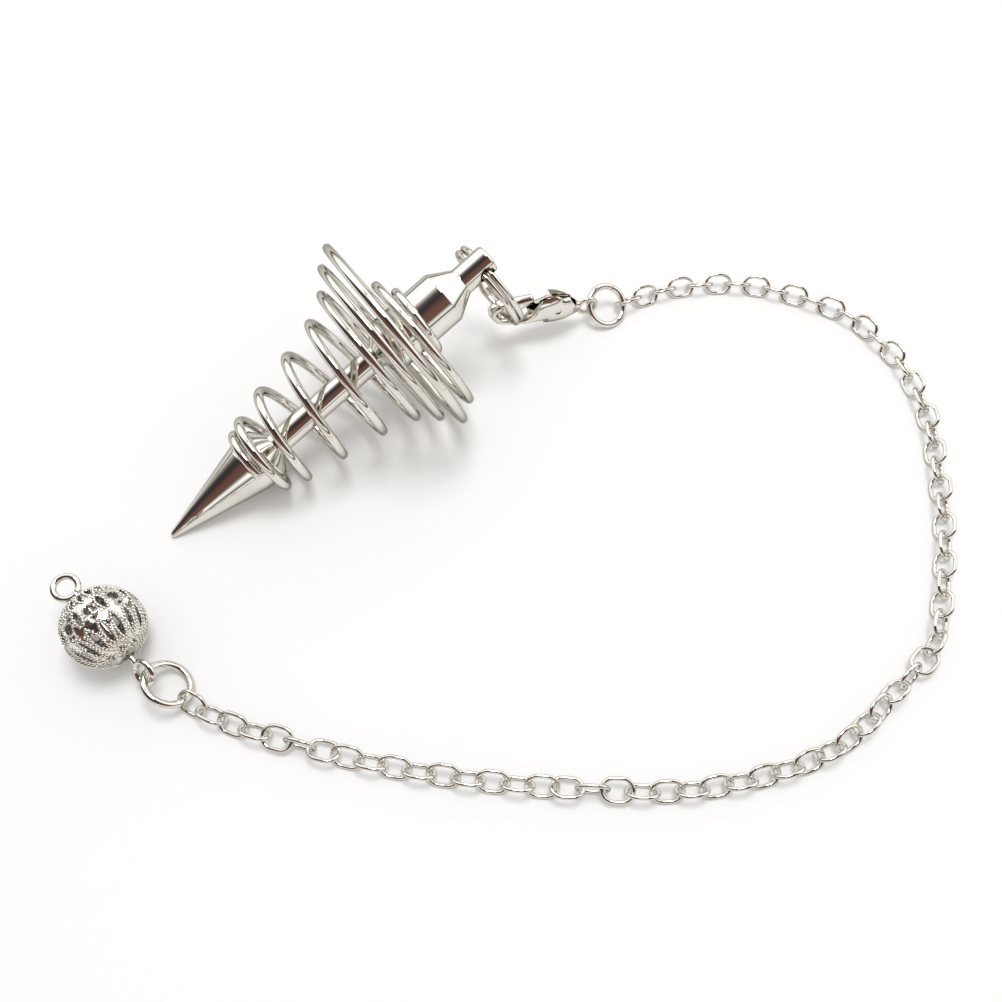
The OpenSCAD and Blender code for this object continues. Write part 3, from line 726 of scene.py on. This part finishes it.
class PENDULUM_OT_eye_pin(bpy.types.Operator):
    """The pin through the ball, with a bent loop at either end."""
    bl_idname = "pendulum.eye_pin"
    bl_label = "Eye pin"

    def execute(self, context):
        sides = context.scene.pendulum_shape.wire_sides
        r, ball_r = (LOOP_D - PIN_WIRE) / 2, BALL_D / 2
        free, held = -(ball_r + FREE_REACH + LOOP_D / 2), ball_r + HELD_REACH + LOOP_D / 2
        joint = free + math.sqrt(r * r - FREE_SIDE * FREE_SIDE)
        middles = [Vector((0, 0, z)) for z in (joint, 0, held - r)]
        shank = wrap("bent_pin", wire(middles, Vector((0, 1, 0)), PIN_WIRE, sides))
        rings = sawn_ring(LOOP_D, PIN_WIRE, LOOP_CUT, LOOP_CUT_SIDE, steps=72, sides=sides)
        for place in (turned((0, -FREE_SIDE, free), (0, -90, 0)),
                      turned((0, 0, held), (90, 0, LOOP_ROLL)) @ turned((0, 0, 0), (0, 0, 90))):
            loop = wrap("loop", rings)
            loop.data.transform(place)
            combine(shank, loop, "UNION")
        settle(shank, turned(BALL_AT, PIN_TURN), ["eye_pin"], plate("wire_plate"))
        return {"FINISHED"}


def leaf_points(length, width, spacing):
    """Points along a leaf between two arcs."""
    r = (length * length / 4 + width * width / 4) / width
    half = math.asin(length / 2 / r)
    count = max(3, round(2 * half * r / spacing))
    arc = [Vector((r * math.sin(-half + 2 * half * i / count),
                   r * math.cos(-half + 2 * half * i / count) + width / 2 - r))
           for i in range(count)]
    return arc + [-p for p in arc]


def grain_places(grain):
    """Where grains sit on the ball: in a row round every leaf, and spread over what is left."""
    reach, row_off = BALL_D / 2 - GRAIN_SINK * grain, ROW_OFF * grain
    row, bare = [], []
    for polar, count, length, width in BALL_LEAVES:
        outline = leaf_points(length * BALL_D + 2 * row_off, width * BALL_D + 2 * row_off,
                              ROW_SPACING * grain)
        for k in range(count):
            turn = turned((0, 0, 0), (0, polar, 360 * k / count))
            for point in outline:
                height = math.sqrt(reach * reach - point.length_squared)
                middle = turn @ Vector((*point, height))
                if all((middle - other).length > ROW_LEAST * grain for other in row):
                    row.append(middle)
            bare.append((turn.inverted(), length * BALL_D / 2 + SPREAD_OFF * grain,
                         width * BALL_D / 2 + SPREAD_OFF * grain))
    for polar, count, width in BALL_ROUNDS:
        for k in range(count):
            turn = turned((0, 0, 0), (0, polar, 360 * (k + 0.5) / count))
            border = width * BALL_D / 2 + HOLE_BORDER
            bare.append((turn.inverted(), HOLE_OVAL * border, HOLE_OVAL * border))

    def is_bare(middle):
        """Whether a place is at a pole, at a leaf or at a round hole."""
        if Vector((middle.x, middle.y)).length < POLE_BORDER:
            return True
        for turn, half_long, half_wide in bare:
            seen = turn @ middle
            share = 1 - (seen.x / half_long) ** 2
            if seen.z > 0 and share > 0 and abs(seen.y) < half_wide * share:
                return True
        return False

    # The rest lie evenly on a spiral from pole to pole
    count = round(4 * math.pi * (reach / (SPREAD_SPACING * grain)) ** 2)
    golden = math.pi * (3 - math.sqrt(5))
    spread = []
    for k in range(count):
        z = 1 - (2 * k + 1) / count
        across = math.sqrt(1 - z * z)
        spread.append(reach * Vector((across * math.cos(golden * k),
                                      across * math.sin(golden * k), z)))
    return row + [middle for middle in spread if not is_bare(middle)]


class PENDULUM_OT_ball(bpy.types.Operator):
    """The pierced ball: its shell, with grains soldered round every leaf and in between."""
    bl_idname = "pendulum.ball"
    bl_label = "Ball"

    def execute(self, context):
        grain = context.scene.pendulum_shape.grain / MM
        place = Matrix.Scale(MM, 4) @ turned(BALL_AT, PIN_TURN)
        shell = merged_copy("ball", "pierced_ball")

        deselect()
        bpy.ops.mesh.primitive_uv_sphere_add(segments=8, ring_count=5, radius=grain / 2)
        bead = context.object
        edit_all(bead)
        bpy.ops.transform.resize(value=(1, 1, GRAIN_HEIGHT))
        bpy.ops.object.mode_set(mode="OBJECT")
        beads = copies_at(bead, [
            place @ Matrix.Translation(middle) @ middle.to_track_quat("Z", "Y").to_matrix().to_4x4()
            for middle in grain_places(grain)])
        choose(shell, *beads)
        bpy.ops.object.join()
        grained = plate("grained_plate")
        # The hollow ball's inside is painted darker as shade, and made rougher
        paint_hollow_shade(grained, place.translation, (BALL_D / 2 - INSIDE_DEPTH) * MM)
        settle(shell, IN_METRES, ["ball"], grained, body="ball", angle=50)
        return {"FINISHED"}


class PENDULUM_OT_stage(bpy.types.Operator):
    """Pale floor, soft light from above, white surroundings with a dark card, and the camera."""
    bl_idname = "pendulum.stage"
    bl_label = "Stage"

    def execute(self, context):
        stage = context.scene.pendulum_stage
        deselect()
        bpy.ops.mesh.primitive_plane_add(size=FLOOR_SIZE)
        floor = context.object
        floor.name = "floor"
        floor.data.materials.append(self.paper(stage))

        self.surround(stage)
        deselect()
        spot = Vector(KEY_AT)
        bpy.ops.object.light_add(type="AREA", location=spot)
        key = context.object
        key.name = "key_light"
        key.data.shape = "DISK"
        key.data.size = KEY_SIZE
        key.data.energy = stage.key
        key.rotation_euler = spot.to_track_quat("Z", "Y").to_euler()

        deselect()
        bpy.ops.object.camera_add(location=CAMERA_AT, rotation=(math.radians(CAMERA_TILT), 0, 0))
        camera = context.object
        camera.data.sensor_width = SENSOR_MM
        camera.data.lens = SENSOR_MM * FOCAL_PIXELS / PHOTO_PIXELS
        camera.data.clip_start = CAMERA_NEAR
        context.scene.camera = camera
        context.scene.view_settings.view_transform = "Standard"
        return {"FINISHED"}

    def paper(self, stage):
        """The floor's pale paper, with its fibres a shade darker."""
        material = bpy.data.materials.new("floor_paper")
        material.use_nodes = True
        tree = material.node_tree
        shader = tree.nodes["Principled BSDF"]
        shader.inputs["Roughness"].default_value = PAPER_ROUGHNESS
        tone = add_node(tree, "ValToRGB")
        tone.color_ramp.elements[0].color = (*[FIBRE_SHADE * c for c in stage.floor], 1)
        tone.color_ramp.elements[1].color = (*stage.floor, 1)
        place = add_node(tree, "TexCoord").outputs["Object"]
        feed(tree, noise(tree, place, FIBRE_SCALE, PLAIN_DETAIL), tone.inputs["Fac"])
        feed(tree, tone.outputs["Color"], shader.inputs["Base Color"])
        return material

    def surround(self, stage):
        """Even white for the floor. Gloss sees a white room with a dark card beside the camera."""
        world = bpy.data.worlds.new("studio")
        bpy.context.scene.world = world
        world.use_nodes = True
        tree = world.node_tree

        def sums(operation, a, b=0):
            """One sum with one or two values."""
            made = add_node(tree, "Math", operation=operation)
            feed(tree, a, made.inputs[0])
            feed(tree, b, made.inputs[1])
            return made.outputs["Value"]

        def ramp(value, low, high, stops):
            """Colours at places between two ends."""
            made = add_node(tree, "ValToRGB")
            points = made.color_ramp.elements
            while len(points) < len(stops):
                points.new(0.5)
            for point, (place, _) in zip(points, stops):
                point.position = (place - low) / (high - low)
            for point, (_, colour) in zip(points, stops):
                point.color = (*colour, 1)
            feed(tree, rescale(tree, value, low, high), made.inputs["Fac"])
            return made.outputs["Color"]

        def blend(kind, share, a, b):
            """Two colours mixed or multiplied."""
            return mix(tree, share, a, b, data_type="RGBA", blend_type=kind)

        way = add_node(tree, "TexCoord").outputs["Generated"]
        bob_axis = turned((0, 0, 0), BOB_TURN).col[2].to_3d()
        front = (CARD_FACES - CARD_FACES.dot(bob_axis) * bob_axis).normalized()
        shares = []
        for axis in (bob_axis.cross(front), front, bob_axis):
            dot = add_node(tree, "VectorMath", operation="DOT_PRODUCT")
            feed(tree, way, dot.inputs[0])
            feed(tree, axis, dot.inputs[1])
            shares.append(dot.outputs["Value"])
        beside, before, along = shares

        # The card's angle round the bob, in radians, measured so that its edges are straight
        lean = sums("MULTIPLY", sums("MAXIMUM", sums("MULTIPLY", along, -1), 0), CARD_LEAN)
        flat = sums("SQRT", sums("SUBTRACT", 1, sums("MULTIPLY", beside, beside)))
        ahead = sums("MULTIPLY", sums("SIGN", before), flat)
        round_bob = sums("ADD", sums("ARCTAN2", beside, ahead), lean)
        card = ramp(sums("MULTIPLY", round_bob, 180 / math.pi), -180, 180, CARD)
        card = blend("MIX", ramp(along, -1, 1, CARD_REACH), WHITE, card)

        height = add_node(tree, "SeparateXYZ")
        feed(tree, way, height.inputs["Vector"])
        room = blend("MULTIPLY", 1, ramp(height.outputs["Z"], -1, 1, ROOM), card)
        glossy = add_node(tree, "LightPath").outputs["Is Glossy Ray"]
        extra = sums("MULTIPLY", glossy, stage.room - stage.surround)
        back = tree.nodes["Background"]
        feed(tree, blend("MIX", glossy, FLOOR_LIGHT, room), back.inputs["Color"])
        feed(tree, sums("ADD", stage.surround, extra), back.inputs["Strength"])


class PENDULUM_PT_panel(bpy.types.Panel):
    """Lists the pieces and their settings."""
    bl_idname = "PENDULUM_PT_panel"
    bl_label = "Pendulum"
    bl_space_type = "VIEW_3D"
    bl_region_type = "UI"
    bl_category = "Pendulum"

    def draw(self, context):
        for group in ("pendulum_shape", "pendulum_finish", "pendulum_stage"):
            settings = getattr(context.scene, group)
            for name in settings.bl_rna.properties.keys():
                if name not in ("rna_type", "name"):
                    self.layout.prop(settings, name)
        for operator in OPERATORS:
            self.layout.operator(operator.bl_idname)


OPERATORS = (PENDULUM_OT_bob, PENDULUM_OT_coil, PENDULUM_OT_split_ring, PENDULUM_OT_clasp,
             PENDULUM_OT_jump_rings, PENDULUM_OT_chain, PENDULUM_OT_eye_pin, PENDULUM_OT_ball,
             PENDULUM_OT_stage)
CLASSES = (PendulumShape, PendulumFinish, PendulumStage, *OPERATORS, PENDULUM_PT_panel)


def register():
    for each in CLASSES:
        bpy.utils.register_class(each)
    bpy.types.Scene.pendulum_shape = PointerProperty(type=PendulumShape)
    bpy.types.Scene.pendulum_finish = PointerProperty(type=PendulumFinish)
    bpy.types.Scene.pendulum_stage = PointerProperty(type=PendulumStage)


def unregister():
    del bpy.types.Scene.pendulum_stage
    del bpy.types.Scene.pendulum_finish
    del bpy.types.Scene.pendulum_shape
    for each in reversed(CLASSES):
        bpy.utils.unregister_class(each)


def main():
    register()
    bpy.ops.pendulum.bob()
    bpy.ops.pendulum.coil()
    bpy.ops.pendulum.split_ring()
    bpy.ops.pendulum.clasp()
    bpy.ops.pendulum.jump_rings()
    bpy.ops.pendulum.chain()
    bpy.ops.pendulum.eye_pin()
    bpy.ops.pendulum.ball()
    bpy.ops.pendulum.stage()
    deselect()


if __name__ == "__main__":
    main()
